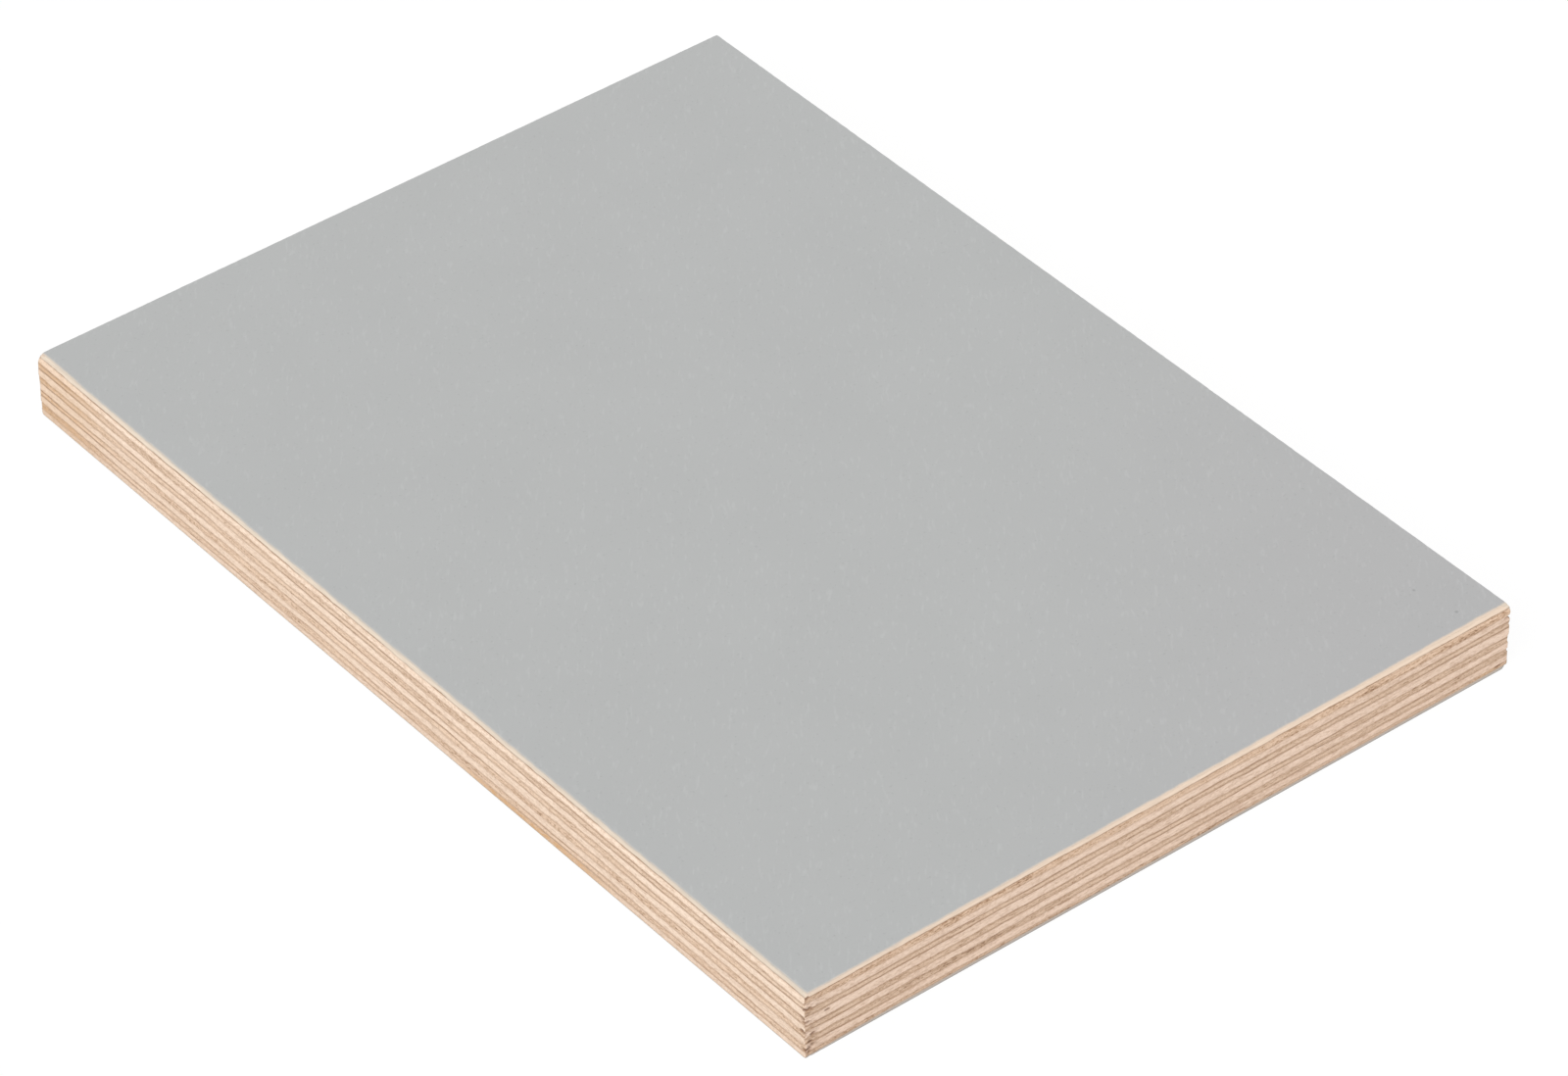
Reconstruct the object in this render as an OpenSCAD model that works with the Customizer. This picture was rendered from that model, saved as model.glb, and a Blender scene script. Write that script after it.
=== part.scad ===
// Film-faced plywood sheet: nine cross-laid plies, a thin pale veneer on the face, a grey film
// over it and a grey film underneath. It lies flat with the face up, the long side along Y and
// the origin at the centre of the underside. The two finished edges, at -X and -Y, are eased
// through the film and the veneer. The other two edges are square saw cuts.

/* [Sheet] */
// Length of the long side, along Y
sheet_length = 297; // [150:1:2500]
// Length of the short side, along X
sheet_width = 210; // [100:1:1250]

/* [Lay-up] */
// Thickness of the film underneath
backing_film_t = 0.35; // [0.15:0.05:0.6]
// Thickness of the first and the last ply, which are sanded down
outer_ply_t = 1.3; // [0.8:0.05:2.5]
// Thickness of each ply between them
inner_ply_t = 2.04; // [1:0.01:3]
// Number of plies between the outer two, taken as odd so that the lay-up is balanced
inner_plies = 7; // [3:2:11]
// Thickness of the pale veneer on the face
face_veneer_t = 0.65; // [0.3:0.05:1]
// Thickness of the film on the face
face_film_t = 0.12; // [0.1:0.01:0.4]

/* [Edges] */
// Radius of the two eased edges of the face
ease_radius = 2; // [0.5:0.1:3]

/* [Hidden] */
$fn = 64;

// Plies of the balanced lay-up, with as many above the middle one as below it
plies_each_side = 1 + floor(inner_plies / 2);
ply_count = 2 * plies_each_side + 1;

// Height at which each layer starts
plies_bottom = backing_film_t;
veneer_bottom = plies_bottom + 2 * outer_ply_t + (ply_count - 2) * inner_ply_t;
film_bottom = veneer_bottom + face_veneer_t;
sheet_thickness = film_bottom + face_film_t;

// Colours of the films, the veneer, and the plies with their grain along Y and along X
film_grey = "#b9bab9";
backing_grey = "#a9a5a0";
veneer_cream = "#ebd8c6";
lengthwise_birch = "#f0d5bc";
crosswise_birch = "#dcc1a8";

function is_outer(number) = number == 1 || number == ply_count;
function ply_thickness(number) = is_outer(number) ? outer_ply_t : inner_ply_t;
function ply_bottom(number) =
    number == 1 ? plies_bottom : ply_bottom(number - 1) + ply_thickness(number - 1);
function ply_colour(number) = number % 2 == 1 ? lengthwise_birch : crosswise_birch;
function ply_name(number) = str("ply_", number);

// Section across one side of the sheet, with its top edge rounded at the negative end
module eased_section(side) {
    difference() {
        translate([-side / 2, 0])
            square([side, sheet_thickness]);
        difference() {
            translate([-side / 2 - ease_radius, sheet_thickness - ease_radius])
                square(2 * ease_radius);
            translate([-side / 2 + ease_radius, sheet_thickness - ease_radius])
                circle(ease_radius);
        }
    }
}

// Whole sheet before it is divided into layers, where the two sections meet in a mitre
module eased_sheet() {
    intersection() {
        rotate([90, 0, 0])
            linear_extrude(sheet_length, center = true)
                eased_section(sheet_width);
        rotate([90, 0, 90])
            linear_extrude(sheet_width, center = true)
                eased_section(sheet_length);
    }
}

// The part of the sheet between two heights
module layer(bottom, thickness) {
    intersection() {
        eased_sheet();
        translate([-sheet_width, -sheet_length, bottom])
            cube([2 * sheet_width, 2 * sheet_length, thickness]);
    }
}

module backing_film() {
    color(backing_grey)
        layer(0, backing_film_t);
}

module ply(number) {
    color(ply_colour(number))
        layer(ply_bottom(number), ply_thickness(number));
}

module face_veneer() {
    color(veneer_cream)
        layer(veneer_bottom, face_veneer_t);
}

module face_film() {
    color(film_grey)
        layer(film_bottom, face_film_t);
}

backing_film();
for (number = [1 : ply_count])
    ply(number);
face_veneer();
face_film();
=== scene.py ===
"""Looks of a film-faced plywood sheet, built as an add-on around the sheet's fixed frame.

Each layer of the frame is replaced by a sawn layer of the same size. Its edges carry what the saw
and the sandpaper leave: rough end grain, a fine groove at each glue line, glue lines that wander,
a face edge eased by hand, and small breaks at the corners.
"""

import math
from collections import namedtuple

import bmesh
import bpy
from bpy.props import FloatProperty, FloatVectorProperty, PointerProperty
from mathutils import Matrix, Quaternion, Vector, noise


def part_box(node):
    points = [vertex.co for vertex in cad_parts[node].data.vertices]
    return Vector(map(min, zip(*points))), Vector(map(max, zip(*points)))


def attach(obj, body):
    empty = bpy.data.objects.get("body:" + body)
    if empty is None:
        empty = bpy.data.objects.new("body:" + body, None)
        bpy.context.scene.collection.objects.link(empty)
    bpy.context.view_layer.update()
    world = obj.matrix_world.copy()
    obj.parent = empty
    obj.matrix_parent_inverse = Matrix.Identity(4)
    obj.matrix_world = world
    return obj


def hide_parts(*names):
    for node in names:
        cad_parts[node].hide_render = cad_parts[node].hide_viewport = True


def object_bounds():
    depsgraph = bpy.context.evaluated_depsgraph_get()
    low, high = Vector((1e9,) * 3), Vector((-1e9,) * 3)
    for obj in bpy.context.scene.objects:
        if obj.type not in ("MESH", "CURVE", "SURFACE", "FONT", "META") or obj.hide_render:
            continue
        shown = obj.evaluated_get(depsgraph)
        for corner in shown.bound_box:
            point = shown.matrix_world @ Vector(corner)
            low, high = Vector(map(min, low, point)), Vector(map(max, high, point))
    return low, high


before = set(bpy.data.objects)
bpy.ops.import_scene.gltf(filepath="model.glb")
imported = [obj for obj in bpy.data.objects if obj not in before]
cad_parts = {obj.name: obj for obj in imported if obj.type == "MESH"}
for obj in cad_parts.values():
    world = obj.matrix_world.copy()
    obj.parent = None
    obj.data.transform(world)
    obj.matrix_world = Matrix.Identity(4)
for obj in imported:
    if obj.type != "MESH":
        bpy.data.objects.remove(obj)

bl_info = {
    "name": "Film-Faced Plywood Sheet",
    "version": (1, 0, 0),
    "blender": (4, 5, 0),
    "location": "3D View > Sidebar > Plywood",
    "description": "Builds the sawn layers, the films and the studio of a plywood sheet",
    "category": "Add Mesh",
}

MM = 0.001
CAD_LOW, CAD_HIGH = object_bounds()
SHEET = CAD_HIGH - CAD_LOW

# Layers of the sheet, from the underside up, and the heights between them
PLY_COUNT = sum(name.startswith("ply_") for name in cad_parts)
PLIES = [f"ply_{number}" for number in range(1, PLY_COUNT + 1)]
LAYERS = ["backing_film", *PLIES, "face_veneer", "face_film"]
LEVELS = [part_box(name)[0].z for name in LAYERS] + [CAD_HIGH.z]

# How far the glue line under a layer lies off its level, in millimetres: on the long eased edge,
# and on the other edges away from it
LINE_SHIFTS = {
    "ply_1": (0.00, 0.55),
    "ply_2": (0.00, 0.26),
    "ply_3": (0.12, -0.24),
    "ply_4": (0.00, -0.16),
    "ply_5": (0.12, -0.34),
    "ply_6": (0.00, -0.39),
    "ply_7": (0.12, -0.09),
    "ply_8": (0.00, -0.02),
    "ply_9": (0.12, -0.39),
    "face_veneer": (0.00, 0.02),
}

# How bright each ply is drawn on the long and on the short sides, next to the usual; the lengthwise
# plies are darker towards the bottom
PLY_TONES = {
    "ply_1": (0.91, 0.97),
    "ply_2": (1.00, 0.98),
    "ply_3": (0.95, 0.97),
    "ply_4": (1.05, 1.00),
    "ply_5": (0.98, 1.00),
    "ply_6": (1.03, 1.00),
    "ply_9": (0.99, 1.11),
}

# Names of the values that each layer's points carry for its material
PLY_HEIGHT = "ply_height"
BRUISE = "bruise"

# A break in an edge, in millimetres: its side, its place from the low end of that side and from
# the floor, its half sizes, its depth, which is below zero where the wood stands proud, and how
# brown the torn wood is, from 0 to 1
Break = namedtuple("Break", "side along height reach rise depth brown")
BREAKS = (
    Break("long", 1.0, 11.35, 1.0, 0.80, 0.75, 1.0),
    Break("long", 0.9, 7.30, 1.1, 0.80, 0.80, 1.0),
    Break("long", 0.0, 14.3, 0.9, 0.45, 0.40, 0.7),
    Break("long", 0.0, 10.3, 0.9, 0.45, 0.35, 0.7),
    Break("long", 0.0, 2.2, 0.8, 0.50, 0.35, 0.7),
    Break("short", 0.5, 14.0, 1.4, 0.45, 0.60, 0.9),
    Break("short", 0.4, 17.1, 0.6, 0.50, 0.35, 0.8),
    Break("short", 0.3, 10.2, 1.6, 0.50, 0.35, 0.7),
    Break("short", 2.2, 6.3, 1.0, 0.60, 0.50, 0.8),
    Break("short", 1.5, 4.2, 0.9, 0.45, 0.40, 0.8),
    Break("short", 2.0, 3.0, 1.4, 0.40, 0.45, 0.7),
    Break("short", 0.5, 2.1, 1.2, 0.55, 0.55, 1.0),
    Break("short", 6.3, 11.0, 1.1, 0.40, 0.15, 0.8),
    Break("short", 206.8, 1.6, 1.6, 0.35, 0.15, 0.9),
    Break("short", 210.0, 15.0, 1.2, 0.70, 0.50, 0.2),
    Break("short", 210.0, 0.3, 1.2, 0.60, 0.35, 0.1),
    Break("long_sawn", 0.0, 16.8, 3.0, 0.90, -0.20, 0.0),
    Break("long_sawn", 0.0, 15.1, 2.4, 0.60, 0.90, 0.1),
    Break("long_sawn", 0.0, 13.0, 2.0, 0.50, 0.25, 0.0),
    Break("long_sawn", 0.0, 8.6, 2.5, 1.20, 0.25, 0.0),
    Break("long_sawn", 0.0, 5.2, 2.0, 0.60, 0.35, 0.1),
    Break("long_sawn", 0.0, 2.0, 4.0, 9.00, 0.20, 0.0),
    Break("long_sawn", 0.0, 0.2, 1.4, 0.70, 0.45, 0.1),
    Break("short_sawn", 0.0, 6.0, 3.0, 11.00, -0.25, 0.0),
)

# A dot in the film, in millimetres: its place on the face, its radius, and how dark it is, which
# is below zero for a pale one. Each pair paints a small pit: the dark dot is painted shade in it,
# and the pale dot is a painted highlight on its far wall
Dot = namedtuple("Dot", "x y radius dark")
FILM_PIT_SHADING = (
    Dot(91.6, -129.8, 0.55, 0.22),
    Dot(93.9, -141.9, 0.60, 0.25),
    Dot(92.4, -129.0, 0.40, -0.05),
    Dot(94.9, -141.3, 0.45, -0.06),
)


def eased_radius():
    """Radius of the eased face edge, from the step that it leaves between the film and the edge."""
    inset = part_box("face_film")[0].x - CAD_LOW.x
    depth = CAD_HIGH.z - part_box("face_film")[0].z
    return inset + depth + math.sqrt(2 * inset * depth)


def length(name, description, millimetres):
    """A size in metres that a user may change, written in millimetres."""
    return FloatProperty(name=name, description=description, default=millimetres * MM, unit="LENGTH")


def plain(name, description, default):
    """A plain number that a user may change."""
    return FloatProperty(name=name, description=description, default=default)


def colour(name, description, red, green, blue):
    """A colour that a user may change, in linear light."""
    return FloatVectorProperty(
        name=name, description=description, subtype="COLOR", default=(red, green, blue), min=0, max=1
    )


class PlywoodEdges(bpy.types.PropertyGroup):
    """What the saw and the sandpaper left on the edges."""

    spacing: length("Spacing", "Distance between points along an edge", 0.42)
    fine_reach: length("Fine reach", "Stretch beside a corner that has finer points", 8.0)
    ring_rise: length("Ring rise", "Distance between points across a ply", 0.24)
    groove_width: length("Groove width", "Half width of the groove at a glue line", 0.10)
    groove_depth: length("Groove depth", "Depth of the groove at a glue line of a saw cut", 0.04)
    end_fibre: length("End fibre", "Roughness of end grain", 0.06)
    long_fibre: length("Long fibre", "Roughness of long grain", 0.025)
    sanded_share: plain("Sanded share", "Roughness of a finished edge, as a share of a saw cut's", 0.3)
    sanded_set: length("Sanded set", "How far a ply stands out of a finished edge", 0.03)
    sawn_set: length("Sawn set", "How far a ply stands out of a saw cut", 0.25)
    wander: length("Wander", "How far a glue line strays from level", 0.50)
    wander_pitch: length("Wander pitch", "Length over which a glue line strays", 22.0)
    shift_reach: length("Shift reach", "Stretch beside the long edge in which glue lines shift", 24.0)
    corner_wear: length("Corner wear", "Radius of the worn upright corners", 0.3)
    torn_reach: length("Torn reach", "Stretch of torn fibres beside the front corner", 6.0)
    torn_depth: length("Torn depth", "Depth of the torn fibres", 0.18)
    ease_radius: FloatProperty(
        name="Ease radius",
        description="Radius of the eased face edges",
        default=eased_radius(),
        unit="LENGTH",
    )
    ease_long: plain("Ease, long edge", "Radius on the long edge, as a share of the ease radius", 1.07)
    ease_front: plain("Ease, front", "Radius on the short edge at the front, as such a share", 0.68)
    ease_right: plain("Ease, right", "Radius on the short edge at its other end, as such a share", 1.04)


class PlywoodColours(bpy.types.PropertyGroup):
    """Colours of the wood and the films."""

    film: colour("Film", "Grey film on the face", 0.456, 0.464, 0.461)
    film_plain: colour("Film, plain", "The film towards the right corner", 0.449, 0.449, 0.450)
    backing: colour("Backing", "Grey film underneath", 0.397, 0.376, 0.352)
    backing_edge: colour("Backing, edge", "Sawn edge of that film, with wood dust", 0.500, 0.432, 0.372)
    veneer_long: colour("Veneer, long grain", "Pale veneer cut along its grain", 0.790, 0.635, 0.505)
    veneer_end: colour("Veneer, end grain", "Pale veneer cut across its grain", 0.735, 0.625, 0.510)
    long_grain: colour("Long grain", "Lengthwise ply cut along its grain", 0.840, 0.662, 0.522)
    end_grain: colour("End grain", "Lengthwise ply cut across its grain", 0.680, 0.492, 0.356)
    cross_long: colour("Cross, long grain", "Crosswise ply cut along its grain", 0.800, 0.607, 0.476)
    cross_end: colour("Cross, end grain", "Crosswise ply cut across its grain", 0.725, 0.545, 0.405)
    glue: colour("Glue", "Glue line and the wood that it soaks", 0.350, 0.208, 0.126)
    bruise: colour("Bruise", "Torn wood in a break", 0.165, 0.070, 0.030)
    amber: colour("Amber", "Resin stain, and old wood at the left end", 0.600, 0.360, 0.170)


class PlywoodStage(bpy.types.PropertyGroup):
    """The studio: camera, floor and light."""

    azimuth: plain("Azimuth", "Camera's place round the sheet, in degrees", -38.065)
    elevation: plain("Elevation", "Camera's height, in degrees", 39.171)
    roll: plain("Roll", "Camera's tilt, in degrees", -0.957)
    lens: plain("Lens", "Focal length in millimetres", 170.23)
    distance: length("Distance", "From the camera to the point that it looks at", 1739.4)
    aim_x: length("Aim X", "Point of the face that the camera looks at, across", -9.154)
    aim_y: length("Aim Y", "Point of the face that the camera looks at, along", -21.618)
    floor_size: length("Floor size", "Side of the floor", 12000.0)
    floor_gap: length("Floor gap", "How far the floor lies below the sheet", 0.05)
    sky: plain("Sky", "Strength of the light from all round", 0.60)
    key: plain("Key", "Strength of the soft lamp", 1.76)
    key_spread: plain("Key spread", "Angle that the lamp fills, in degrees", 50)
    key_from: FloatVectorProperty(
        name="Key from", description="Direction that the lamp shines from", default=(-0.58, -0.36, 0.73)
    )


# A side of the sheet: its name, the axis that it faces along, which way, and whether it is eased
Side = namedtuple("Side", "name axis sign eased")
SIDES = (
    Side("long", 0, -1, True),
    Side("short", 1, -1, True),
    Side("long_sawn", 0, 1, False),
    Side("short_sawn", 1, 1, False),
)


def grain_runs_along(layer):
    """True for a layer whose grain runs along the long side of the sheet."""
    return layer in PLIES[::2]


def side_plane(side):
    """Where a side of the plain sheet lies on its axis."""
    return (CAD_LOW if side.sign < 0 else CAD_HIGH)[side.axis]


def sides_of(place):
    """The sides of the sheet that a point of its outline lies on: one, or two at a corner."""
    reach = 0.001 * MM
    return [side for side in SIDES if abs(place[side.axis] - side_plane(side)) < reach]


# Wander of a glue line: the most, as a share of the thinner layer beside it, the number and the
# size of its fine waves next to the coarse ones, and the steps between the seeds of the lines
WANDER_MOST = 0.2
FINE_WAVES = 5
FINE_WAVE_SIZE = 0.5
COARSE_SEED = 5.3
FINE_SEED = 7.9


def thickness(layer):
    """Thickness of a layer of the frame."""
    index = LAYERS.index(layer)
    return LEVELS[index + 1] - LEVELS[index]


def glue_line(index, place, edges):
    """Height of the line under a layer at one place of the outline.

    The underside of the first layer and the face of the last one stay level.
    """
    if not 0 < index < len(LAYERS):
        return LEVELS[index]
    thinner = min(thickness(layer) for layer in LAYERS[index - 1:index + 1])
    stray = min(edges.wander, WANDER_MOST * thinner)
    at = Vector((place.x, place.y, 0)) / edges.wander_pitch
    coarse = noise.noise(at + Vector((0, 0, COARSE_SEED * index)))
    fine = noise.noise(at * FINE_WAVES + Vector((0, 0, FINE_SEED * index)))
    away = min(1.0, (place.x - CAD_LOW.x) / edges.shift_reach)
    away *= 2 - away
    on_edge, elsewhere = LINE_SHIFTS.get(LAYERS[index], (0.0, 0.0))
    shift = (on_edge + away * (elsewhere - on_edge)) * MM
    return LEVELS[index] + shift + stray * (coarse + FINE_WAVE_SIZE * fine)


# Waver of the easing: its share of the radius, its pitch, and the step between the sides' seeds
EASE_WAVER = 0.06
EASE_PITCH = 9 * MM
EASE_SEED = 4.1


def ease_inset(side, place, height, edges):
    """How far the easing sets the edge back at a height."""
    if not side.eased:
        return 0.0
    radius = edges.ease_radius * edges.ease_long
    if side.name == "short":
        part = (place.x - CAD_LOW.x) / SHEET.x
        radius = edges.ease_radius * (edges.ease_front + part * (edges.ease_right - edges.ease_front))
    along = place[1 - side.axis]
    radius *= 1 + EASE_WAVER * noise.noise(Vector((along / EASE_PITCH, side.axis * EASE_SEED, 0)))
    rise = height - (CAD_HIGH.z - radius)
    if rise <= 0:
        return 0.0
    return radius - math.sqrt(max(radius * radius - rise * rise, 0.0))


def corner_distance(side, place):
    """Distance along a side to its nearer end."""
    along = place[1 - side.axis]
    return min(along - CAD_LOW[1 - side.axis], CAD_HIGH[1 - side.axis] - along)


# Rim of a break: how ragged it is, as a share of its size, the pitch of that along the edge and
# up it, and how steep the rim is
BREAK_RAGGED = 0.25
BREAK_PITCH = (0.45 * MM, 0.3 * MM)
BREAK_STEEP = 2.2


def edge_noise(along, height, pitch, seed):
    """Noise on an edge, with its pitch along the edge and up it, from about -1 to 1."""
    return noise.noise(Vector((along / pitch[0], height / pitch[1], seed)))


def break_depth(side, place, height):
    """Depth of the breaks at a point, and how brown the wood is there."""
    along = place[1 - side.axis] - CAD_LOW[1 - side.axis]
    ragged = BREAK_RAGGED * edge_noise(along, height, BREAK_PITCH, SIDES.index(side))
    depth = 0.0
    brown = 0.0
    for flaw in BREAKS:
        if flaw.side != side.name:
            continue
        aside = (along / MM - flaw.along) / flaw.reach
        above = (height / MM - flaw.height) / flaw.rise
        far = math.hypot(aside, above) + ragged
        if far < 1:
            part = min(1.0, BREAK_STEEP * (1 - far))
            depth += flaw.depth * MM * part
            brown = max(brown, flaw.brown * part)
    return depth, brown


# Torn fibres: the pitch of their patches along the edge and up it, how sharply these stand out,
# how much they cover, and how brown they are
TORN_PITCH = (1.1 * MM, 0.5 * MM)
TORN_CONTRAST = 1.6
TORN_COVER = 0.35
TORN_BROWN = 0.5


def torn(side, place, height, edges):
    """How torn the fibres of the short edge are beside the front corner, from 0 to 1."""
    if side.name != "short" or height > LEVELS[LAYERS.index("face_veneer")]:
        return 0.0
    away = (place.x - CAD_LOW.x) / edges.torn_reach
    patch = noise.noise(Vector((place.x / TORN_PITCH[0], 0, height / TORN_PITCH[1])))
    return min(1.0, max(0.0, 1 - away) * max(0.0, TORN_CONTRAST * patch + TORN_COVER))


# Set of a ply: the pitch at which it changes, and how far back it lies on average, as a share
SET_PITCH = 60 * MM
SET_BACK = 0.1

# Fibres of an edge: the pitch along the edge and up it of coarse and of fine end grain, of long
# grain and of the saw's teeth, and how hollow end grain is, as a share of its roughness
END_COARSE = (3.5 * MM, 1.1 * MM)
END_FINE = (1.4 * MM, 0.6 * MM)
LONG_STREAK = (18 * MM, 0.3 * MM)
SAW_TEETH = (1.1 * MM, 40 * MM)
END_HOLLOW = 0.3

# Worn upright corners: their radius in end grain and in long grain, next to the usual one, and
# their depth as a share of it
END_WEAR = 1.4
LONG_WEAR = 0.8
CORNER_DEPTH = 0.3

# Steps between the seeds of neighbouring layers and of neighbouring sides
LAYER_SEED = 3.7
SIDE_SEED = 17.1


def relief(layer, side, place, height, share_up, edges):
    """How far the edge stands out at a point, below zero for a hollow."""
    along = place[1 - side.axis]
    across_grain = grain_runs_along(layer) != (side.axis == 0)
    seed = LAYERS.index(layer) * LAYER_SEED + SIDES.index(side) * SIDE_SEED
    rough = edges.sanded_share if side.eased else 1.0
    out = 0.0
    if layer != "face_film":
        ply_set = edges.sanded_set if side.eased else edges.sawn_set
        out = ply_set * (noise.noise(Vector((along / SET_PITCH, seed, 0))) - SET_BACK)
    if across_grain:
        coarse = edge_noise(along, height, END_COARSE, seed)
        fine = edge_noise(along, height, END_FINE, seed)
        out += rough * edges.end_fibre * ((coarse + fine) / 2 - END_HOLLOW)
    else:
        out += rough * edges.long_fibre * edge_noise(along, height, LONG_STREAK, seed)
    if not side.eased:
        out += edges.end_fibre * edge_noise(along, height, SAW_TEETH, seed)
    under_film = layer == "face_film" or (layer == "face_veneer" and share_up == 1.0)
    if share_up in (0.0, 1.0) and not under_film:
        out -= rough * edges.groove_depth
    wear = edges.corner_wear * (END_WEAR if across_grain else LONG_WEAR)
    worn = max(0.0, 1 - corner_distance(side, place) / wear)
    return out - CORNER_DEPTH * wear * worn * worn


# Cuts that make the points of the rim finer beside a corner
CORNER_CUTS = 2


def base_plate(bm, height, edges):
    """Adds the outline of the sheet as a flat plate, with many points along its rim."""
    low, high = CAD_LOW, CAD_HIGH
    places = ((low.x, low.y), (high.x, low.y), (high.x, high.y), (low.x, high.y))
    plate = bm.faces.new([bm.verts.new((x, y, height)) for x, y in places])
    plate.normal_update()
    bmesh.ops.inset_region(
        bm, faces=[plate], thickness=edges.fine_reach, use_boundary=True, use_even_offset=True
    )
    for edge in [edge for edge in bm.edges if edge.is_boundary]:
        cuts = int(edge.calc_length() / edges.spacing)
        bmesh.ops.subdivide_edges(bm, edges=[edge], cuts=cuts)
    near = [edge for edge in bm.edges if edge.is_boundary and beside_corner(edge, edges)]
    bmesh.ops.subdivide_edges(bm, edges=near, cuts=CORNER_CUTS)
    return list(bm.faces)


def beside_corner(edge, edges):
    """True for an edge of the rim that lies beside the front or the right corner."""
    middle = (edge.verts[0].co + edge.verts[1].co) / 2
    front = math.hypot(middle.x - CAD_LOW.x, middle.y - CAD_LOW.y)
    right = math.hypot(middle.x - CAD_HIGH.x, middle.y - CAD_LOW.y)
    return min(front, right) < edges.fine_reach


# Fewest rings of points that a layer has
FEWEST_RINGS = 4


def ring_shares(layer, edges):
    """Heights of a layer's rings of points above its base, as shares of its thickness."""
    steps = max(FEWEST_RINGS, round(thickness(layer) / edges.ring_rise))
    shares = [step / steps for step in range(1, steps)]
    groove = edges.groove_width / thickness(layer)
    if groove < shares[0]:
        shares = [groove, *shares, 1 - groove]
    return [*shares, 1.0]


def raise_rings(bm, plate, shares, height_layer):
    """Extrudes the plate into a layer, one ring of points at a time."""
    top = plate
    for share_up in shares:
        rim = {edge for face in top for edge in face.edges}
        made = bmesh.ops.extrude_face_region(bm, geom=[*top, *rim])["geom"]
        top = [item for item in made if isinstance(item, bmesh.types.BMFace)]
        for item in made:
            if isinstance(item, bmesh.types.BMVert):
                item[height_layer] = share_up
    return top


def shape_point(vert, layer, edges, height_layer, bruise_layer):
    """Moves one point of a layer from the plain outline to its place on the worn edge.

    Beside a corner, a point also follows the end of the other side, less and less further away.
    """
    index = LAYERS.index(layer)
    share_up = vert[height_layer]
    place = vert.co.copy()
    sides = sides_of(place)
    if not sides:
        vert.co.z = LEVELS[index] + share_up * thickness(layer)
        return
    below = glue_line(index, place, edges)
    above = glue_line(index + 1, place, edges)
    height = below + share_up * (above - below)
    moved = Vector((place.x, place.y, height))
    for side in SIDES:
        edge = place.copy()
        edge[side.axis] = side_plane(side)
        fade = 1 - abs(place[side.axis] - edge[side.axis]) / edges.fine_reach
        if fade <= 0:
            continue
        depth, brown = break_depth(side, edge, height)
        torn_here = torn(side, edge, height, edges)
        depth += ease_inset(side, edge, height, edges) + edges.torn_depth * torn_here
        depth -= relief(layer, side, edge, height, share_up, edges)
        moved[side.axis] -= side.sign * fade * depth
        if side in sides:
            vert[bruise_layer] = max(vert[bruise_layer], brown, TORN_BROWN * torn_here)
    vert.co = moved


def sawn_layer(layer, edges):
    """Returns the mesh of one layer with its worn edges."""
    bm = bmesh.new()
    height_layer = bm.verts.layers.float.new(PLY_HEIGHT)
    bruise_layer = bm.verts.layers.float.new(BRUISE)
    plate = base_plate(bm, LEVELS[LAYERS.index(layer)], edges)
    top = raise_rings(bm, plate, ring_shares(layer, edges), height_layer)
    flat = {*plate, *top}
    for vert in bm.verts:
        shape_point(vert, layer, edges, height_layer, bruise_layer)
    bmesh.ops.recalc_face_normals(bm, faces=bm.faces)
    for face in bm.faces:
        face.smooth = face not in flat
    mesh = bpy.data.meshes.new(f"sawn_{layer}")
    bm.to_mesh(mesh)
    bm.free()
    return mesh


def place_layer(layer, name, material):
    """Puts one finished layer in the scene in place of its plain solid."""
    mesh = sawn_layer(layer, bpy.context.scene.plywood_edges)
    mesh.materials.append(material)
    piece = bpy.data.objects.new(name, mesh)
    bpy.context.scene.collection.objects.link(piece)
    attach(piece, "root")
    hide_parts(layer)


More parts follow.
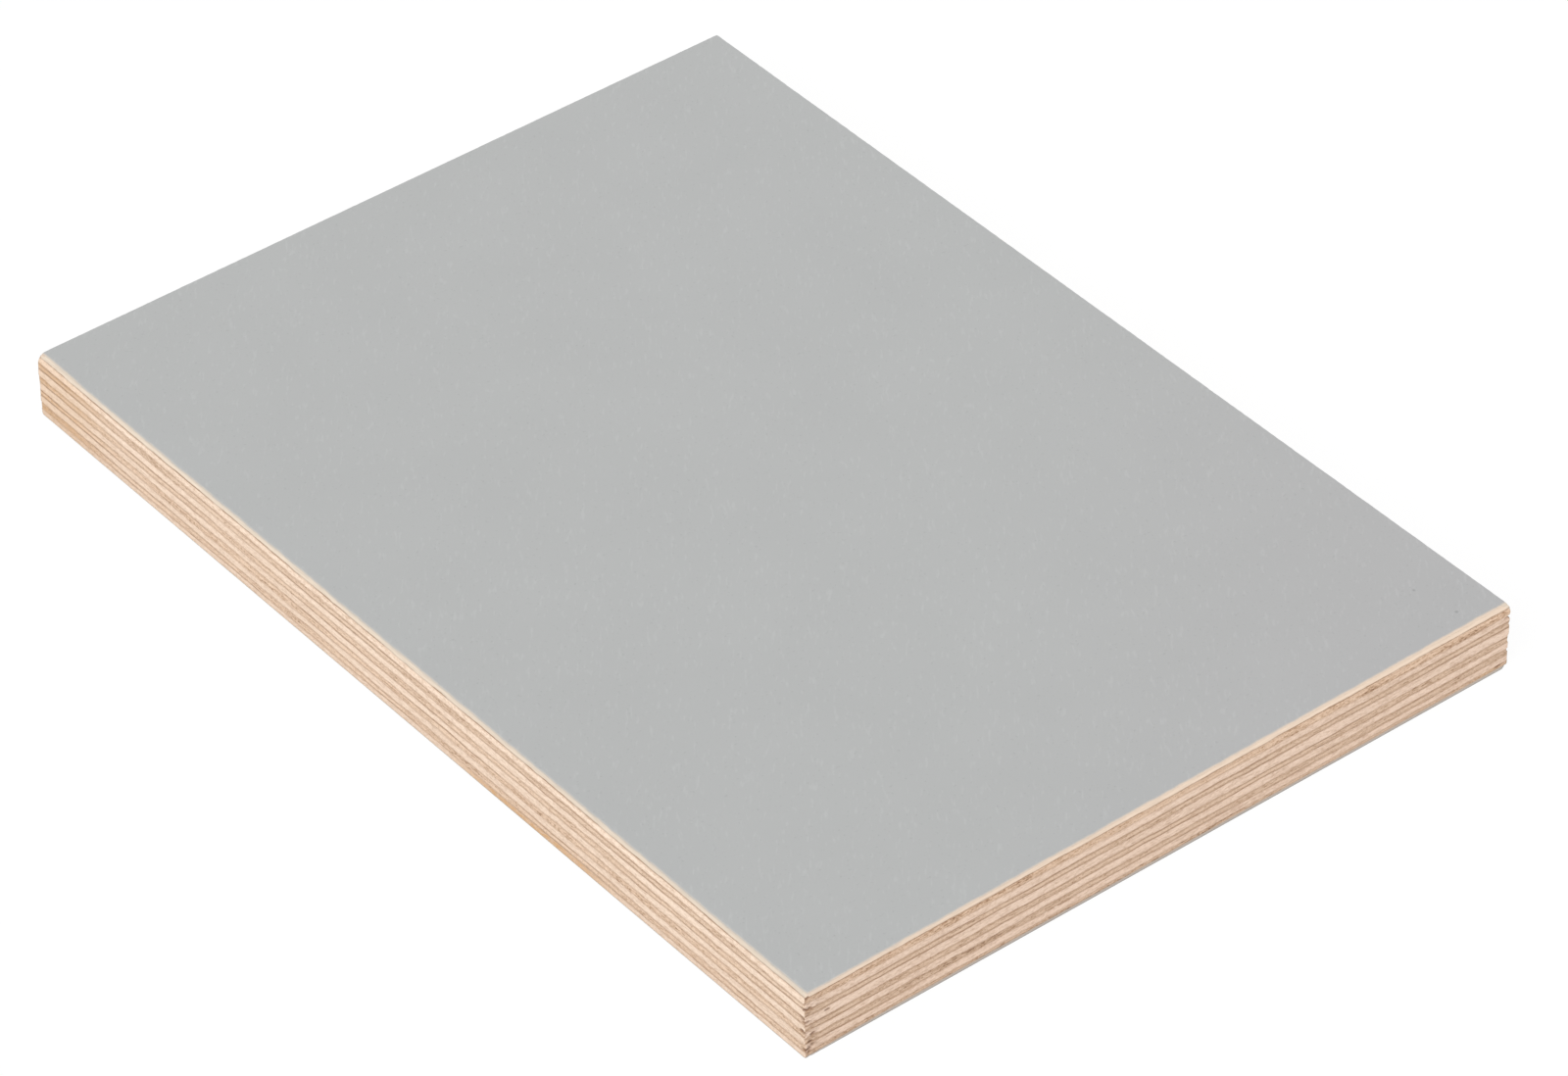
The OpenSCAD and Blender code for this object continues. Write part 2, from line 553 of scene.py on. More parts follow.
class NodeTree:
    """Short calls that add nodes to one tree and return their outputs."""

    # Sockets of a Mix node that blends colours
    MIX_INPUTS = (0, 6, 7)
    MIX_RESULT = 2

    def __init__(self, tree):
        self.tree = tree

    def node(self, kind, **settings):
        """Adds a node and sets its properties."""
        made = self.tree.nodes.new(kind)
        for key, value in settings.items():
            setattr(made, key, value)
        return made

    def put(self, value, socket):
        """Links an output to a socket, or sets the socket to a plain value."""
        if isinstance(value, bpy.types.NodeSocket):
            self.tree.links.new(value, socket)
        else:
            socket.default_value = value

    def fill(self, made, *values):
        """Feeds a node's inputs in their order, and returns its first output."""
        for value, socket in zip(values, made.inputs):
            self.put(value, socket)
        return made.outputs[0]

    def place(self):
        """The point on the piece, in Object coordinates."""
        return self.node("ShaderNodeTexCoord").outputs["Object"]

    def split(self, vector):
        """The coordinates of a vector, one output each."""
        made = self.node("ShaderNodeSeparateXYZ")
        self.put(vector, made.inputs[0])
        return made.outputs

    def math(self, operation, *values, clamp=False):
        """One step of arithmetic with outputs and plain values."""
        return self.fill(self.node("ShaderNodeMath", operation=operation, use_clamp=clamp), *values)

    def times(self, first, *others):
        """The product of two or more values."""
        for other in others:
            first = self.math("MULTIPLY", first, other)
        return first

    def centred(self, value):
        """A value from 0 to 1 that is moved to lie round zero."""
        return self.math("SUBTRACT", value, 0.5)

    def combine(self, x, y, z):
        """A vector from its coordinates."""
        return self.fill(self.node("ShaderNodeCombineXYZ"), x, y, z)

    def rgb(self, red, green, blue):
        """A colour from its channels."""
        return self.fill(self.node("ShaderNodeCombineColor"), red, green, blue)

    def grey(self, value):
        """A colour with the same value in all its channels."""
        return self.rgb(value, value, value)

    def noise(self, vector, detail, roughness=0.5):
        """Soft noise from 0 to 1, with about one cycle to the unit of the vector."""
        made = self.node("ShaderNodeTexNoise", noise_dimensions="3D")
        self.put(vector, made.inputs["Vector"])
        self.put(1.0, made.inputs["Scale"])
        self.put(detail, made.inputs["Detail"])
        self.put(roughness, made.inputs["Roughness"])
        return made.outputs[0]

    def ramp(self, value, start, end, low=0.0, high=1.0):
        """A smooth step from low to high while value goes from start to end."""
        made = self.node("ShaderNodeMapRange", interpolation_type="SMOOTHSTEP")
        return self.fill(made, value, start, end, low, high)

    def mix(self, factor, first, second, blend="MIX"):
        """A blend of two colours."""
        made = self.node("ShaderNodeMix", data_type="RGBA", blend_type=blend)
        for value, number in zip((factor, first, second), self.MIX_INPUTS):
            self.put(value, made.inputs[number])
        return made.outputs[self.MIX_RESULT]

    def group(self, group, **values):
        """Places a shared group, with its inputs set by name."""
        made = self.node("ShaderNodeGroup", node_tree=group)
        for key, value in values.items():
            self.put(value, made.inputs[key.replace("_", " ")])
        return made.outputs


def rgba(value):
    """A property's colour as a node socket takes it."""
    return (*value, 1.0)


def shared_group(name, build, inputs, outputs):
    """Returns a shader node group, built the first time that it is asked for."""
    group = bpy.data.node_groups.get(name)
    if group:
        return group
    group = bpy.data.node_groups.new(name, "ShaderNodeTree")
    for socket, kind in inputs.items():
        group.interface.new_socket(socket, in_out="INPUT", socket_type=f"NodeSocket{kind}")
    for socket, kind in outputs.items():
        group.interface.new_socket(socket, in_out="OUTPUT", socket_type=f"NodeSocket{kind}")
    tree = NodeTree(group)
    build(tree, tree.node("NodeGroupInput").outputs, tree.node("NodeGroupOutput").inputs)
    return group


# The number of a side in the materials: 1 for a long side and 0 for a short one, and this much
# more for an eased side
EASED_SIDE = 2.0


def build_edge_place(tree, _, made):
    """Millimetres along an edge and up it, a mask of the long sides, and the number of the side."""
    x, y, z = (tree.math("DIVIDE", axis, MM) for axis in tree.split(tree.place()))
    to_long = tree.math("SUBTRACT", SHEET.x / 2 / MM, tree.math("ABSOLUTE", x))
    to_short = tree.math("SUBTRACT", SHEET.y / 2 / MM, tree.math("ABSOLUTE", y))
    long_side = tree.math("LESS_THAN", to_long, to_short)
    along = tree.math("MULTIPLY_ADD", long_side, tree.math("SUBTRACT", y, x), x)
    across = tree.math("MULTIPLY_ADD", long_side, tree.math("SUBTRACT", x, y), y)
    eased = tree.math("LESS_THAN", across, 0.0)
    tree.put(along, made["Along"])
    tree.put(z, made["Height"])
    tree.put(long_side, made["Long Side"])
    tree.put(tree.math("MULTIPLY_ADD", eased, EASED_SIDE, long_side), made["Side"])


def edge_place():
    """The group that tells a material where on the sheet's edges it is."""
    outputs = {"Along": "Float", "Height": "Float", "Long Side": "Float", "Side": "Float"}
    return shared_group("Edge Place", build_edge_place, {}, outputs)


# A noise of the grain: its cycles to the millimetre along the edge and up it, its detail, and how
# much it shades a ply's long grain and end grain
Grain = namedtuple("Grain", "per_along per_height detail in_long in_end", defaults=(0.0, 0.0))
PATCHES = Grain(0.025, 0.40, 2.0, 0.40, 1.50)
STREAKS = Grain(0.10, 2.3, 2.0, 0.28, 0.70)
DASHES = Grain(0.45, 2.0, 2.0, 0.70, 1.40)
PORES = Grain(1.25, 2.7, 3.0, 0.85, 2.00)
PLY_GRAIN = (PATCHES, STREAKS, DASHES, PORES)
GRAIN_ROUGHNESS = 0.6
PLY_SEED = 31.7

# Each range below goes to a ramp: where an effect begins and where it is full and, if these are
# given, its strength at both

# Shade of a ply: the slow change of its end grain along an edge, the most that it comes to, how
# softly, and its power in red, green and blue, so that dark wood is warmer
END_SHADE = (-100, 40, -0.01, 0.05)
SHADE_MOST = 1.13
SHADE_SOFT = 0.12
SHADE_POWERS = (0.8, 1.0, 1.2)

# Dark specks: the pores that have them, and how much they hide of long grain and of end grain
SPECK_PORES = (0.07, 0.20)
SPECK_COVER = (0.12, 0.62)

# Old wood at the left end of the long edge: its place in millimetres, its wash, and its streaks,
# with how much they hide of long grain and of end grain
OLD_END = (112, 140)
OLD_WASH = 0.15
OLD_STREAKS = (-0.10, 0.20, 0.10, 0.75)
OLD_COVER = (0.15, 0.90)

# Wood soaked with glue: how ragged its borders are, the distances from the glue line at which it
# comes and goes, in millimetres, what breaks it up, the thickness of a ply that has it, and the
# thin line all along
SOAK_RAGGED = 0.6
SOAK_COMES = (-0.05, 0.25)
SOAK_GOES = (0.30, 0.80, 1.0, 0.0)
SOAK_PATCHES = 1.5
SOAK_PORES = 0.6
SOAK_BREAKS = (-0.20, 0.24, 0.0, 0.88)
SOAK_THICKNESS = (0.6, 2.0)
GLUE_LINE = (0.05, 0.45, 0.16, 0.0)

# Streaks of a resin stain, the most that a bruise hides, and the streaks' part in the fine relief
STAIN_STREAKS = (-0.12, 0.10, 0.35, 1.0)
BRUISE_MOST = 0.9
STREAK_RELIEF = 0.4

# Roughness of the wood and the films, and how far it varies
WOOD_ROUGHNESS = 0.65
VENEER_ROUGHNESS = 0.50
FILM_ROUGHNESS = 0.42
BACKING_ROUGHNESS = 0.45
ROUGHNESS_RANGE = 0.2


def grain_noise(tree, place, grain, seed):
    """A noise stretched along the edge, with its own seed on each side, from 0 to 1."""
    x = tree.times(place["Along"], grain.per_along)
    y = tree.times(place["Height"], grain.per_height)
    side_seed = tree.times(place["Side"], seed)
    return tree.noise(tree.combine(x, y, side_seed), grain.detail, GRAIN_ROUGHNESS)


def soaked_wood(tree, given, patches, dashes, pores):
    """Two masks of the wood that glue has soaked: broken bands, and a thin line all along."""
    half_up = tree.math("PINGPONG", given["Ply Height"], 0.5)
    from_line = tree.times(half_up, given["Thickness"])
    from_line = tree.math("MULTIPLY_ADD", tree.math("ADD", dashes, pores), SOAK_RAGGED, from_line)
    band = tree.times(tree.ramp(from_line, *SOAK_COMES), tree.ramp(from_line, *SOAK_GOES))
    broken = tree.math("MULTIPLY_ADD", pores, SOAK_PORES, dashes)
    broken = tree.math("MULTIPLY_ADD", patches, SOAK_PATCHES, broken)
    broken = tree.times(tree.ramp(broken, *SOAK_BREAKS), tree.ramp(given["Thickness"], *SOAK_THICKNESS))
    return tree.times(band, broken), tree.ramp(from_line, *GLUE_LINE)


def build_sawn_wood(tree, given, made):
    """Colour, roughness and relief of a ply's edge, end grain and long grain alike."""
    place = tree.group(edge_place())
    end = tree.math("ABSOLUTE", tree.math("SUBTRACT", given["Lengthwise"], place["Long Side"]))

    def by_grain(in_long, in_end):
        """One value on long grain and another on end grain."""
        return tree.math("MULTIPLY_ADD", end, in_end - in_long, in_long)

    noises = [tree.centred(grain_noise(tree, place, grain, PLY_SEED)) for grain in PLY_GRAIN]
    patches, streaks, dashes, pores = noises
    shade = tree.math("MULTIPLY_ADD", tree.ramp(place["Along"], *END_SHADE), end, 1.0)
    for value, grain in zip(noises, PLY_GRAIN):
        shade = tree.math("MULTIPLY_ADD", value, by_grain(grain.in_long, grain.in_end), shade)
    shade = tree.math("SMOOTH_MIN", shade, SHADE_MOST, SHADE_SOFT)
    wood = tree.mix(end, given["Long Grain"], given["End Grain"])
    warm = (tree.math("POWER", shade, power) for power in SHADE_POWERS)
    wood = tree.mix(1.0, wood, tree.rgb(*warm), "MULTIPLY")

    speck = tree.times(tree.ramp(pores, *SPECK_PORES), by_grain(*SPECK_COVER))
    wood = tree.mix(speck, wood, given["Glue"])
    old_end = tree.times(tree.ramp(place["Along"], *OLD_END), place["Long Side"])
    old_streaks = tree.ramp(tree.math("ADD", streaks, pores), *OLD_STREAKS)
    aged = tree.times(old_end, by_grain(*OLD_COVER), old_streaks)
    wood = tree.mix(tree.math("MULTIPLY_ADD", old_end, OLD_WASH, aged), wood, given["Amber"])

    bands, line = soaked_wood(tree, given, patches, dashes, pores)
    wood = tree.mix(tree.times(bands, end), wood, given["Glue"])
    wood = tree.mix(line, wood, given["Glue"])
    stained = tree.times(tree.ramp(dashes, *STAIN_STREAKS), given["Stain"])
    wood = tree.mix(stained, wood, given["Amber"])
    wood = tree.mix(tree.times(given["Bruise Mask"], BRUISE_MOST), wood, given["Bruise"])

    tree.put(wood, made["Color"])
    roughness = tree.math("MULTIPLY_ADD", streaks, ROUGHNESS_RANGE, WOOD_ROUGHNESS)
    tree.put(roughness, made["Roughness"])
    lift = tree.math("MULTIPLY_ADD", streaks, STREAK_RELIEF, tree.times(pores, end))
    tree.put(lift, made["Relief"])


def sawn_wood():
    """The group that colours the edge of a ply."""
    inputs = {
        "Ply Height": "Float", "Thickness": "Float", "Lengthwise": "Float", "Stain": "Float",
        "Bruise Mask": "Float", "Long Grain": "Color", "End Grain": "Color", "Glue": "Color",
        "Amber": "Color", "Bruise": "Color",
    }
    outputs = {"Color": "Color", "Roughness": "Float", "Relief": "Float"}
    return shared_group("Sawn Wood", build_sawn_wood, inputs, outputs)


# Border of the film, in millimetres: from the short edge at the front corner, and how much more at
# the right one; from the long edge, with its last stretch before the left corner; its ragged line,
# with the cycles of that to the millimetre; and how soft it is
BORDER_FRONT = 0.90
BORDER_SLOPE = 1.1
BORDER_LONG = (270, 297, 1.50, 1.80)
BORDER_RAGGED = 0.7
BORDER_CYCLES = 0.22
BORDER_DETAIL = 3.0
BORDER_SOFT = (-0.45, 0.45)


def build_film_wear(tree, _, made):
    """How much film is left at a place: none at an eased edge, all of it further in."""
    place = tree.split(tree.place())
    from_long = tree.math("DIVIDE", tree.math("SUBTRACT", place["X"], CAD_LOW.x), MM)
    from_short = tree.math("DIVIDE", tree.math("SUBTRACT", place["Y"], CAD_LOW.y), MM)
    slow = (tree.times(distance, BORDER_CYCLES) for distance in (from_long, from_short))
    ragged = tree.centred(tree.noise(tree.combine(*slow, 0.0), BORDER_DETAIL))
    ragged = tree.times(ragged, BORDER_RAGGED)
    on_short = tree.math("MULTIPLY_ADD", from_long, BORDER_SLOPE / (SHEET.x / MM), BORDER_FRONT)
    on_long = tree.ramp(from_short, *BORDER_LONG)
    past_long = tree.math("ADD", tree.math("SUBTRACT", from_long, on_long), ragged)
    past_short = tree.math("ADD", tree.math("SUBTRACT", from_short, on_short), ragged)
    past = tree.math("MINIMUM", past_long, past_short)
    tree.put(tree.ramp(past, *BORDER_SOFT), made["Film"])


def film_wear():
    """The group that tells where the film is sanded off."""
    return shared_group("Film Wear", build_film_wear, {}, {"Film": "Float"})


def new_material(name):
    """A material with a Principled shader, its tree and that shader's inputs."""
    material = bpy.data.materials.new(name)
    material.use_nodes = True
    tree = NodeTree(material.node_tree)
    return material, tree, material.node_tree.nodes["Principled BSDF"].inputs


def point_value(tree, name):
    """A value that the layer's own points carry."""
    return tree.node("ShaderNodeAttribute", attribute_name=name).outputs["Fac"]


# Shine of the wood and of the face film, and the depth of the finest relief
WOOD_SHINE = 0.25
FILM_SHINE = 0.35
WOOD_RELIEF = 0.03 * MM
FILM_RELIEF = 0.01 * MM


def raise_relief(tree, shader, relief_height, distance):
    """Feeds a height into the shader's normal."""
    bump = tree.node("ShaderNodeBump")
    tree.put(distance, bump.inputs["Distance"])
    tree.put(relief_height, bump.inputs["Height"])
    tree.put(bump.outputs[0], shader["Normal"])


def finish_surface(tree, shader, base, texture, roughness, depth):
    """Feeds a colour into the shader, and one noise as its change of roughness and its relief."""
    tree.put(base, shader["Base Color"])
    tree.put(tree.math("MULTIPLY_ADD", texture, ROUGHNESS_RANGE, roughness), shader["Roughness"])
    raise_relief(tree, shader, texture, depth)


# Resin stains, in millimetres from the middle of an edge: where the one on the long edge comes and
# goes, where the one at the end of the short edge does, and the most that they hide
STAIN_COMES = (-88, -62)
STAIN_GOES = (-36, -14, 1, 0)
END_STAIN_COMES = (92, 98)
END_STAIN_GOES = (101, 104, 0.35, 0)
STAIN_MOST = 0.9


def resin_stain(tree):
    """Where resin has stained the lowest ply: midway on the long edge, and the end of the short one."""
    place = tree.group(edge_place())
    along, long_side = place["Along"], place["Long Side"]
    midway = tree.times(tree.ramp(along, *STAIN_COMES), tree.ramp(along, *STAIN_GOES), long_side)
    far_end = tree.times(tree.ramp(along, *END_STAIN_COMES), tree.ramp(along, *END_STAIN_GOES))
    far_end = tree.math("SUBTRACT", far_end, long_side, clamp=True)
    return tree.times(tree.math("MAXIMUM", midway, far_end), STAIN_MOST)


def wood_material(layer):
    """Birch of one ply, with the ply's own thickness and grain."""
    colours = bpy.context.scene.plywood_colours
    along = grain_runs_along(layer)
    on_long, on_short = PLY_TONES.get(layer, (1.0, 1.0))
    if along:
        long_grain, end_grain = colours.long_grain * on_long, colours.end_grain * on_short
    else:
        long_grain, end_grain = colours.cross_long * on_short, colours.cross_end * on_long
    material, tree, shader = new_material(f"birch_{layer}")
    wood = tree.group(
        sawn_wood(),
        Ply_Height=point_value(tree, PLY_HEIGHT),
        Thickness=thickness(layer) / MM,
        Lengthwise=float(along),
        Stain=resin_stain(tree) if layer == PLIES[0] else 0.0,
        Bruise_Mask=point_value(tree, BRUISE),
        Long_Grain=rgba(long_grain),
        End_Grain=rgba(end_grain),
        Glue=rgba(colours.glue),
        Amber=rgba(colours.amber),
        Bruise=rgba(colours.bruise),
    )
    tree.put(wood["Color"], shader["Base Color"])
    tree.put(wood["Roughness"], shader["Roughness"])
    tree.put(WOOD_SHINE, shader["Specular IOR Level"])
    raise_relief(tree, shader, wood["Relief"], WOOD_RELIEF)
    return material


# Noises of the veneer and their seed, its slow change of tone along an edge, and how much its
# streaks shade it
VENEER_STREAKS = Grain(0.16, 4.0, 3.0)
VENEER_DASHES = Grain(0.5, 2.0, 3.0)
VENEER_GAPS = Grain(0.10, 0.5, 3.0)
VENEER_SEED = 23.0
VENEER_TONE = (-148, 100, 0.965, 1.01)
VENEER_SHADE = 0.50

# Glue line below the veneer: how ragged it is, where it ends as a share of the veneer's height, the
# gaps that break it up, and the least that is left of it on a short and on a long side
SEAM_RAGGED = 0.3
SEAM_ENDS = (0.24, 0.56, 1.0, 0.0)
SEAM_GAPS = (0.36, 0.60)
SEAM_LEAST_SHORT = 0.5
SEAM_LEAST_LONG = 0.3


def veneer_material():
    """Pale veneer, with a brown glue line below it and a trace of film at its upper edge."""
    colours = bpy.context.scene.plywood_colours
    material, tree, shader = new_material("sanded_veneer")
    place = tree.group(edge_place())
    noises = (VENEER_STREAKS, VENEER_DASHES, VENEER_GAPS)
    streaks, dashes, gaps = (grain_noise(tree, place, grain, VENEER_SEED) for grain in noises)
    long_side = place["Long Side"]

    wood = tree.mix(long_side, rgba(colours.veneer_long), rgba(colours.veneer_end))
    tone = tree.ramp(place["Along"], *VENEER_TONE)
    tone = tree.math("MULTIPLY_ADD", tree.centred(streaks), VENEER_SHADE, tone)
    wood = tree.mix(1.0, wood, tree.grey(tone), "MULTIPLY")
    eased = tree.math("GREATER_THAN", place["Side"], EASED_SIDE - 0.5)
    trace = tree.times(tree.group(film_wear())["Film"], eased)
    wood = tree.mix(trace, wood, rgba(colours.film))

    share_up = tree.math("MULTIPLY_ADD", dashes, SEAM_RAGGED, point_value(tree, PLY_HEIGHT))
    least = tree.math("MULTIPLY_ADD", long_side, SEAM_LEAST_LONG - SEAM_LEAST_SHORT, SEAM_LEAST_SHORT)
    seam = tree.times(tree.ramp(share_up, *SEAM_ENDS), tree.ramp(gaps, *SEAM_GAPS, least))
    wood = tree.mix(seam, wood, rgba(colours.glue))
    wood = tree.mix(point_value(tree, BRUISE), wood, rgba(colours.bruise))
    finish_surface(tree, shader, wood, streaks, VENEER_ROUGHNESS, WOOD_RELIEF)
    tree.put(WOOD_SHINE, shader["Specular IOR Level"])
    return material


# A noise of the film: its turn in degrees, its grain's width and run in millimetres, its detail
Press = namedtuple("Press", "turn width run detail")
PRESS_DASHES = Press(-38, 0.80, 3.0, 1.0)
PRESS_SPECKS = Press(0, 0.7, 0.7, 1.0)
PRESS_CLOUDS = Press(0, 25.0, 25.0, 2.0)

# Tone of the film without marks, the range of its dashes and specks, what they and the clouds add
# to the tone, and the inner part of a dot that is at full strength, as a share of its radius
FILM_TONE = 0.997
DASH_RANGE = (0.56, 0.80)
DASH_TONE = 0.07
SPECK_RANGE = (0.64, 0.80)
SPECK_TONE = -0.10
CLOUD_TONE = 0.05
DOT_CORE = 0.3

# Where the film turns plain, on X less Y, which grows towards the right corner
PLAIN_RANGE = (60 * MM, 230 * MM)


def press_noise(tree, place, press):
    """A noise of the film, turned and stretched, from 0 to 1."""
    mapped = tree.node("ShaderNodeMapping", vector_type="TEXTURE")
    tree.put(place, mapped.inputs["Vector"])
    mapped.inputs["Rotation"].default_value[2] = math.radians(press.turn)
    mapped.inputs["Scale"].default_value = (press.width * MM, press.run * MM, press.width * MM)
    return tree.noise(mapped.outputs[0], press.detail)


def film_material():
    """Grey film with a fine press texture, sanded off where the face edge is eased."""
    colours = bpy.context.scene.plywood_colours
    material, tree, shader = new_material("grey_face_film")
    place = tree.place()
    presses = (PRESS_DASHES, PRESS_SPECKS, PRESS_CLOUDS)
    dashes, specks, clouds = (press_noise(tree, place, press) for press in presses)
    tone = tree.math("MULTIPLY_ADD", tree.ramp(dashes, *DASH_RANGE), DASH_TONE, FILM_TONE)
    tone = tree.math("MULTIPLY_ADD", tree.ramp(specks, *SPECK_RANGE), SPECK_TONE, tone)
    tone = tree.math("MULTIPLY_ADD", tree.centred(clouds), CLOUD_TONE, tone)
    # Painted shade and highlights of small pits in the film, one dot at a time
    for dot in FILM_PIT_SHADING:
        gap = tree.node("ShaderNodeVectorMath", operation="DISTANCE")
        tree.put(place, gap.inputs[0])
        tree.put((dot.x * MM, dot.y * MM, CAD_HIGH.z), gap.inputs[1])
        rim = dot.radius * MM
        dark = tree.ramp(gap.outputs["Value"], DOT_CORE * rim, rim, dot.dark, 0.0)
        tone = tree.math("SUBTRACT", tone, dark)

    axes = tree.split(place)
    to_right = tree.math("SUBTRACT", axes["X"], axes["Y"])
    grey = tree.mix(tree.ramp(to_right, *PLAIN_RANGE), rgba(colours.film), rgba(colours.film_plain))
    grey = tree.mix(1.0, grey, tree.grey(tone), "MULTIPLY")
    long_side = tree.group(edge_place())["Long Side"]
    bare = tree.mix(long_side, rgba(colours.veneer_long), rgba(colours.veneer_end))
    left = tree.group(film_wear())["Film"]
    finish_surface(tree, shader, tree.mix(left, bare, grey), dashes, FILM_ROUGHNESS, FILM_RELIEF)
    tree.put(FILM_SHINE, shader["Specular IOR Level"])
    return material


# Mottle of the backing film: its cycles to the metre, its detail, and how much it shades the film
MOTTLE_CYCLES = 0.6 / MM
MOTTLE_DETAIL = 3.0
MOTTLE_SHADE = 0.25

# Sawn rim of the backing film: how much of it wood fuzz hides on a long side, and where its own
# colour begins and is full, as shares of the film's height. Below that, the foot of the rim keeps
# the darker grey of the underside as painted contact shadow under the sheet
RIM_FUZZ = 0.8
RIM_ABOVE_PAINTED_SHADOW = (0.15, 0.60)


def backing_material():
    """Grey film underneath, mottled, with wood fuzz and dust on its sawn rim, and painted shadow at its
    foot.
    """
    colours = bpy.context.scene.plywood_colours
    material, tree, shader = new_material("grey_backing_film")
    scaled = tree.node("ShaderNodeMapping", vector_type="POINT")
    tree.put(tree.place(), scaled.inputs["Vector"])
    scaled.inputs["Scale"].default_value = (MOTTLE_CYCLES, MOTTLE_CYCLES, MOTTLE_CYCLES)
    mottle = tree.noise(scaled.outputs[0], MOTTLE_DETAIL)
    tone = tree.math("MULTIPLY_ADD", tree.centred(mottle), MOTTLE_SHADE, 1.0)
    grey = tree.mix(1.0, rgba(colours.backing), tree.grey(tone), "MULTIPLY")
    wood = tree.mix(resin_stain(tree), rgba(colours.cross_end), rgba(colours.amber))
    fuzz = tree.times(tree.group(edge_place())["Long Side"], RIM_FUZZ)
    rim = tree.mix(fuzz, rgba(colours.backing_edge), wood)
    # Painted contact shadow: the foot of the rim keeps the darker grey of the underside
    rim_above_shadow = tree.ramp(point_value(tree, PLY_HEIGHT), *RIM_ABOVE_PAINTED_SHADOW)
    finish_surface(tree, shader, tree.mix(rim_above_shadow, grey, rim), mottle, BACKING_ROUGHNESS, FILM_RELIEF)
    return material


class PLYWOOD_OT_plies(bpy.types.Operator):
    """Build the cross-laid plies"""

    bl_idname = "plywood.plies"
    bl_label = "Plies"

    def execute(self, context):
        for ply in PLIES:
            place_layer(ply, f"sawn_{ply}", wood_material(ply))
        return {"FINISHED"}


class PLYWOOD_OT_veneer(bpy.types.Operator):
    """Build the pale veneer under the film"""

    bl_idname = "plywood.veneer"
    bl_label = "Face veneer"

    def execute(self, context):
        place_layer("face_veneer", "eased_veneer", veneer_material())
        return {"FINISHED"}


class PLYWOOD_OT_film(bpy.types.Operator):
    """Build the grey film of the face"""

    bl_idname = "plywood.film"
    bl_label = "Face film"

    def execute(self, context):
        place_layer("face_film", "eased_film", film_material())
        return {"FINISHED"}


class PLYWOOD_OT_backing(bpy.types.Operator):
    """Build the grey film underneath"""

    bl_idname = "plywood.backing"
    bl_label = "Backing film"

    def execute(self, context):
        place_layer("backing_film", "trimmed_backing", backing_material())
        return {"FINISHED"}


# Colours of the studio, the strength of the floor's own white, and how much of the floor shows it
WHITE = (1, 1, 1, 1)
FLOOR_GREY = (0.90, 0.90, 0.90, 1)
FLOOR_GLOW = 1.02
FLOOR_GLOW_SHARE = 0.9


def seen_rays(tree):
    """A mask of the rays that see a backdrop: the camera's, and those in gloss and glass."""
    path = tree.node("ShaderNodeLightPath").outputs
    mask = tree.math("MAXIMUM", path["Is Camera Ray"], path["Is Glossy Ray"])
    return tree.math("MAXIMUM", mask, path["Is Transmission Ray"])


def studio_world(stage):
    """Even light from all round, and a white backdrop where it is seen."""
    world = bpy.data.worlds.new("studio")
    world.use_nodes = True
    world.node_tree.nodes.clear()
    tree = NodeTree(world.node_tree)
    light = tree.node("ShaderNodeBackground")
    tree.put(WHITE, light.inputs["Color"])
    tree.put(stage.sky, light.inputs["Strength"])
    backdrop = tree.node("ShaderNodeBackground")
    tree.put(WHITE, backdrop.inputs["Color"])
    mixed = tree.node("ShaderNodeMixShader")
    seen = tree.fill(mixed, seen_rays(tree), light.outputs[0], backdrop.outputs[0])
    tree.put(seen, tree.node("ShaderNodeOutputWorld").inputs["Surface"])
    bpy.context.scene.world = world


def floor_material():
    """White floor that keeps a faint shadow."""
    material, tree, shader = new_material("studio_floor")
    tree.put(FLOOR_GREY, shader["Base Color"])
    tree.put(1.0, shader["Roughness"])
    tree.put(0.0, shader["Specular IOR Level"])
    glow = tree.node("ShaderNodeEmission")
    tree.put(WHITE, glow.inputs["Color"])
    tree.put(FLOOR_GLOW, glow.inputs["Strength"])
    nodes = material.node_tree.nodes
    mixed = tree.node("ShaderNodeMixShader")
    glowing = tree.times(seen_rays(tree), FLOOR_GLOW_SHARE)
    seen = tree.fill(mixed, glowing, nodes["Principled BSDF"].outputs[0], glow.outputs[0])
    tree.put(seen, nodes["Material Output"].inputs["Surface"])
    return material


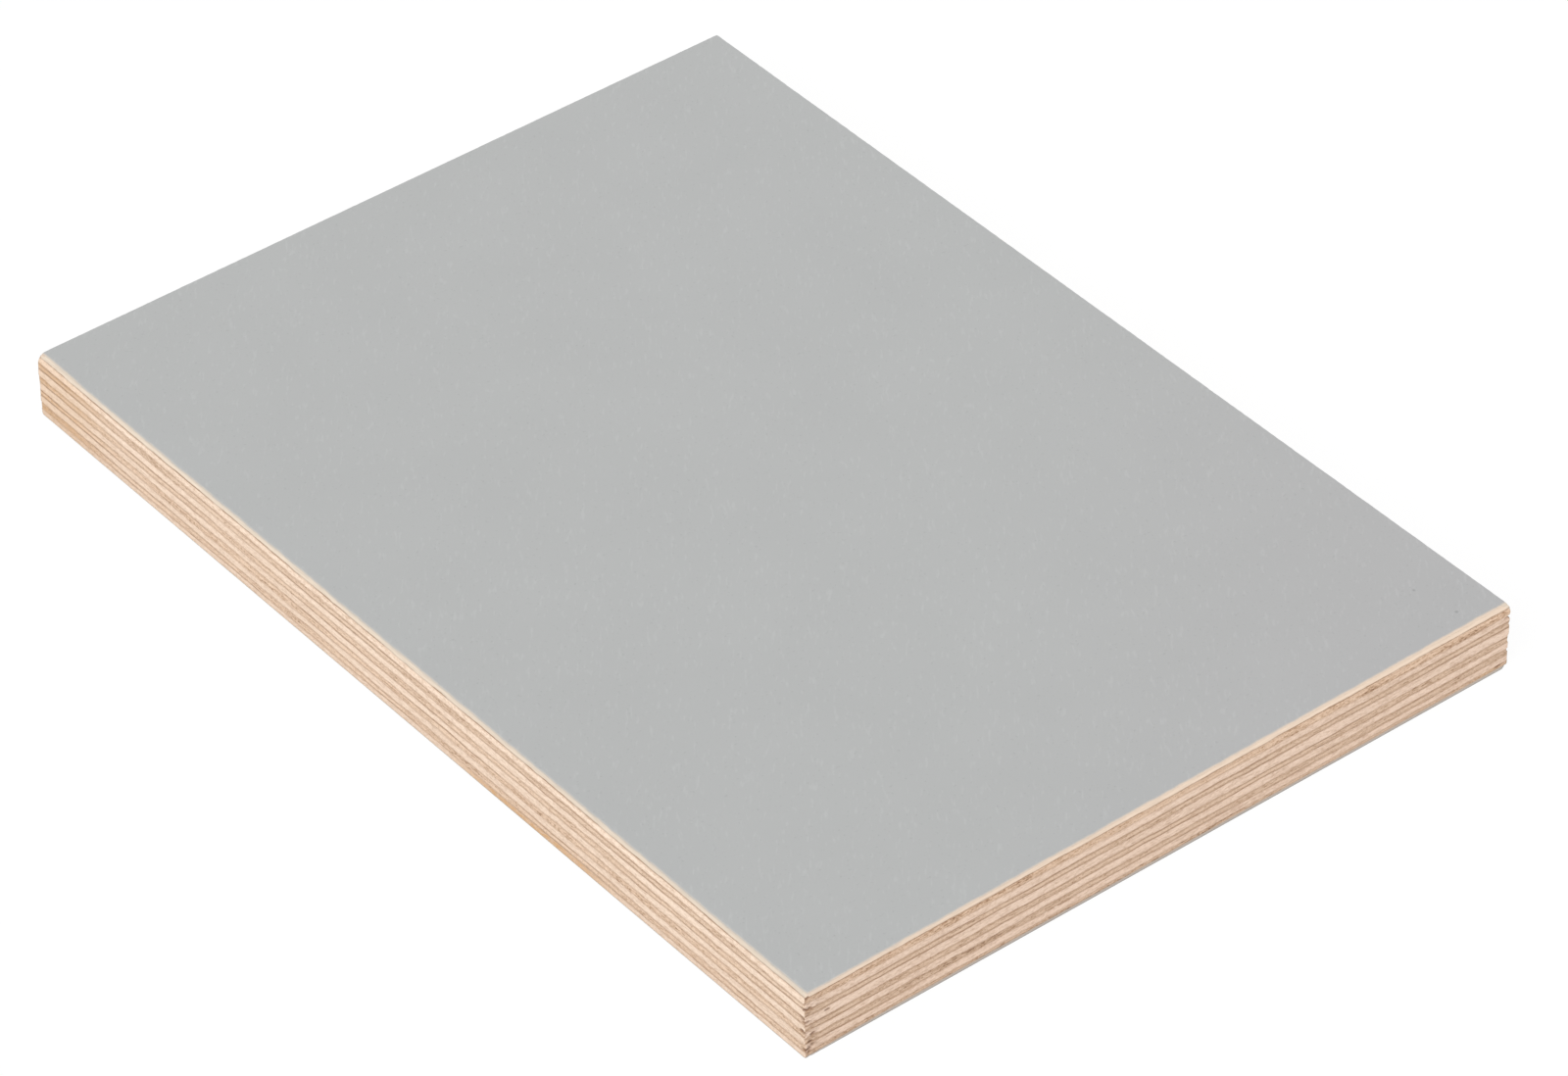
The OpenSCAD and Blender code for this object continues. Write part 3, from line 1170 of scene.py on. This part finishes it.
class PLYWOOD_OT_stage(bpy.types.Operator):
    """Build the camera, the floor and the light"""

    bl_idname = "plywood.stage"
    bl_label = "Studio"

    def execute(self, context):
        stage = context.scene.plywood_stage
        context.scene.view_settings.view_transform = "Standard"
        studio_world(stage)
        self.add_floor(context, stage)
        self.add_key(context, stage)
        self.add_camera(context, stage)
        return {"FINISHED"}

    def add_floor(self, context, stage):
        """Adds a wide floor just below the sheet."""
        bm = bmesh.new()
        bmesh.ops.create_grid(bm, x_segments=1, y_segments=1, size=stage.floor_size / 2)
        bmesh.ops.translate(bm, verts=bm.verts, vec=(0, 0, CAD_LOW.z - stage.floor_gap))
        mesh = bpy.data.meshes.new("studio_floor")
        bm.to_mesh(mesh)
        bm.free()
        mesh.materials.append(floor_material())
        floor = bpy.data.objects.new("studio_floor", mesh)
        context.scene.collection.objects.link(floor)

    def add_key(self, context, stage):
        """Adds the soft lamp."""
        lamp = bpy.data.lights.new("soft_key", "SUN")
        lamp.energy = stage.key
        lamp.angle = math.radians(stage.key_spread)
        key = bpy.data.objects.new("soft_key", lamp)
        key.rotation_euler = Vector(stage.key_from).to_track_quat("Z", "Y").to_euler()
        context.scene.collection.objects.link(key)

    def add_camera(self, context, stage):
        """Adds the camera, looking at a point of the face."""
        azimuth, elevation = math.radians(stage.azimuth), math.radians(stage.elevation)
        level = math.cos(elevation)
        back = Vector((math.sin(azimuth) * level, -math.cos(azimuth) * level, math.sin(elevation)))
        lens = bpy.data.cameras.new("photo_camera")
        lens.lens = stage.lens
        camera = bpy.data.objects.new("photo_camera", lens)
        camera.location = Vector((stage.aim_x, stage.aim_y, CAD_HIGH.z)) + back * stage.distance
        tilt = Quaternion((0, 0, 1), math.radians(stage.roll))
        camera.rotation_euler = ((-back).to_track_quat("-Z", "Y") @ tilt).to_euler()
        context.scene.collection.objects.link(camera)
        context.scene.camera = camera


class PLYWOOD_PT_panel(bpy.types.Panel):
    """Lists the steps that build the sheet, and its settings"""

    bl_idname = "PLYWOOD_PT_panel"
    bl_label = "Plywood Sheet"
    bl_space_type = "VIEW_3D"
    bl_region_type = "UI"
    bl_category = "Plywood"

    def draw(self, context):
        for step in STEPS:
            self.layout.operator(step.bl_idname)
        for key, kind in SETTINGS.items():
            box = self.layout.box()
            for setting in kind.__annotations__:
                box.prop(getattr(context.scene, key), setting)


SETTINGS = {
    "plywood_edges": PlywoodEdges,
    "plywood_colours": PlywoodColours,
    "plywood_stage": PlywoodStage,
}
STEPS = (PLYWOOD_OT_plies, PLYWOOD_OT_veneer, PLYWOOD_OT_film, PLYWOOD_OT_backing, PLYWOOD_OT_stage)
CLASSES = (*SETTINGS.values(), *STEPS, PLYWOOD_PT_panel)


def register():
    """Registers the classes and gives each scene its settings."""
    for made in CLASSES:
        bpy.utils.register_class(made)
    for key, settings in SETTINGS.items():
        setattr(bpy.types.Scene, key, PointerProperty(type=settings))


def unregister():
    """Undoes what register did."""
    for key in SETTINGS:
        delattr(bpy.types.Scene, key)
    for made in reversed(CLASSES):
        bpy.utils.unregister_class(made)


def main():
    """Builds the sheet and the studio."""
    register()
    bpy.ops.plywood.plies()
    bpy.ops.plywood.veneer()
    bpy.ops.plywood.film()
    bpy.ops.plywood.backing()
    bpy.ops.plywood.stage()


if __name__ == "__main__":
    main()
